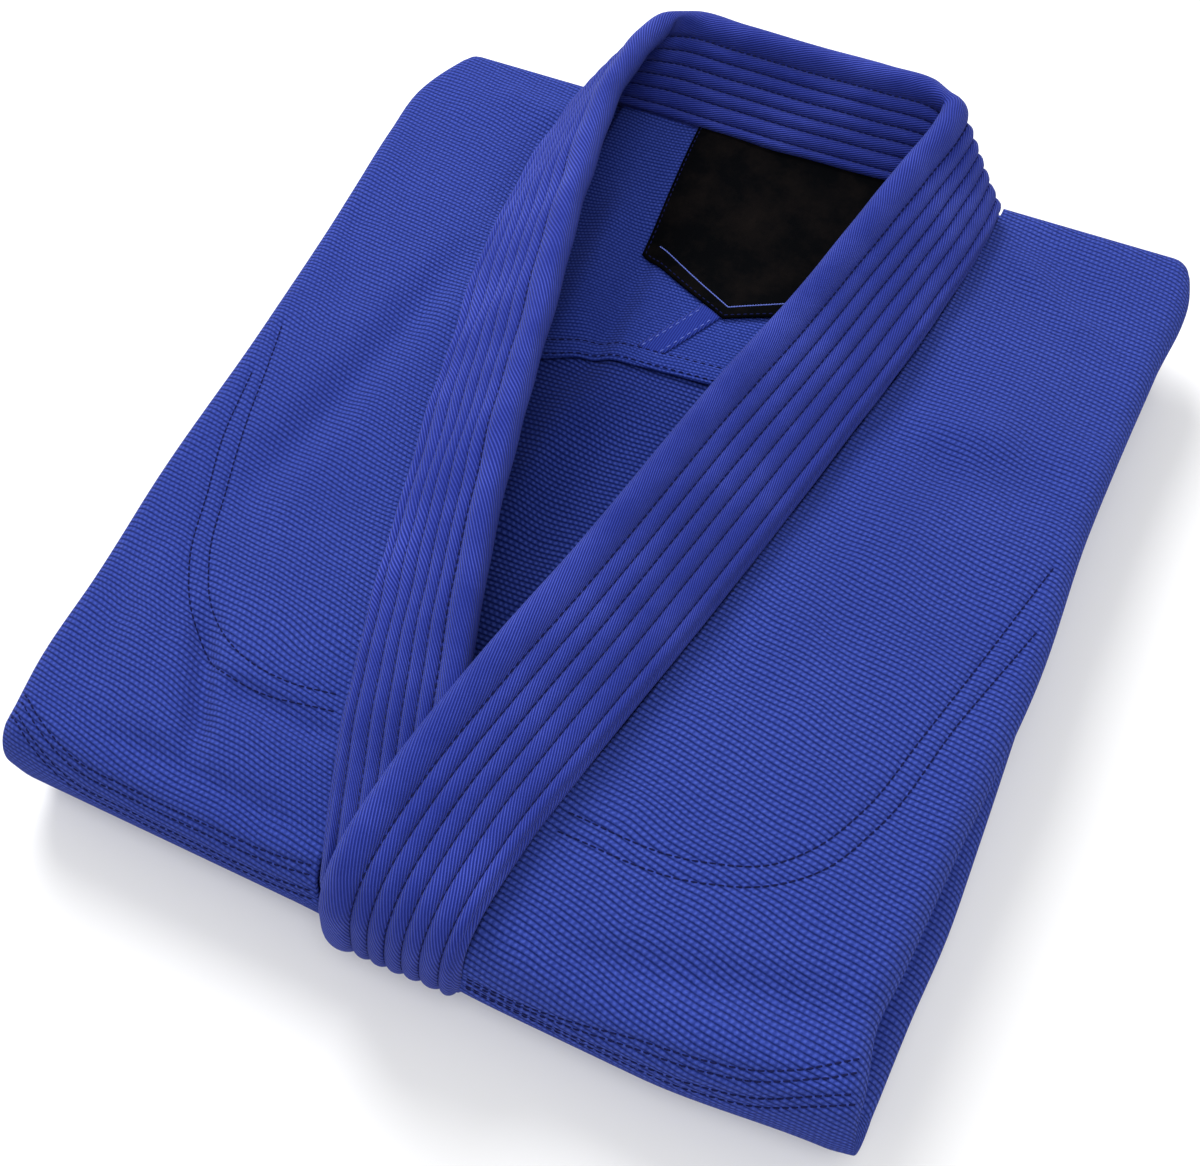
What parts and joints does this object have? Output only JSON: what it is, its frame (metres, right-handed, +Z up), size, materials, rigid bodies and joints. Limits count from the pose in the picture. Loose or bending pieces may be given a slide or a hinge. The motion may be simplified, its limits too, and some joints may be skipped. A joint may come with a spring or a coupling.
{
  "type": "folded martial arts jacket",
  "caption": "Folded blue martial arts jacket: crossed padded lapels and neck band, pearl-weave body, black neck label; skirt folded under along the waist.",
  "frame": {"origin": "middle of the surface that the folded jacket lies on", "axes": "+Z up from that surface, +Y from the waist fold to the neck, +X towards the wearer's left"},
  "size_m": [0.342, 0.4004, 0.0892],
  "materials": {
    "body_cloth": "matte pearl weave",
    "twill": "fine twill",
    "tape": "flat tape with rows of stitches",
    "label": "woven satin",
    "core": "matte foam rubber"
  },
  "bodies": {
    "upper_half": {"left_front_panel": "body_cloth", "right_front_panel": "body_cloth", "back_panel": "body_cloth", "left_shoulder_yoke": "body_cloth", "right_shoulder_yoke": "body_cloth", "left_chest_lining": "twill", "right_chest_lining": "twill", "left_waist_seam_tape": "tape", "right_waist_seam_tape": "tape", "yoke_lining": "twill", "yoke_edge_tape": "tape", "centre_back_tape": "twill", "neck_label": "label", "left_sleeve": "body_cloth", "right_sleeve": "body_cloth", "left_cuff": "twill", "right_cuff": "twill", "left_lapel_cover": "twill", "left_lapel_core": "core", "right_lapel_cover": "twill", "right_lapel_core": "core", "neck_band_cover": "twill", "neck_band_core": "core"},
    "skirt": {"left_lapel_tail_cover": "twill", "left_lapel_tail_core": "core", "right_lapel_tail_cover": "twill", "right_lapel_tail_core": "core", "skirt_left_front": "body_cloth", "skirt_right_front": "body_cloth", "skirt_back": "body_cloth", "left_front_hem": "twill", "right_front_hem": "twill", "back_hem": "twill"}
  },
  "joints": [
    {"name": "skirt_unfold", "type": "hinge", "parent": "upper_half", "child": "skirt", "pos_m": [0, -0.1816, 0.01], "axis": [-1, 0, 0], "range_deg": [0, 180]}
  ]
}
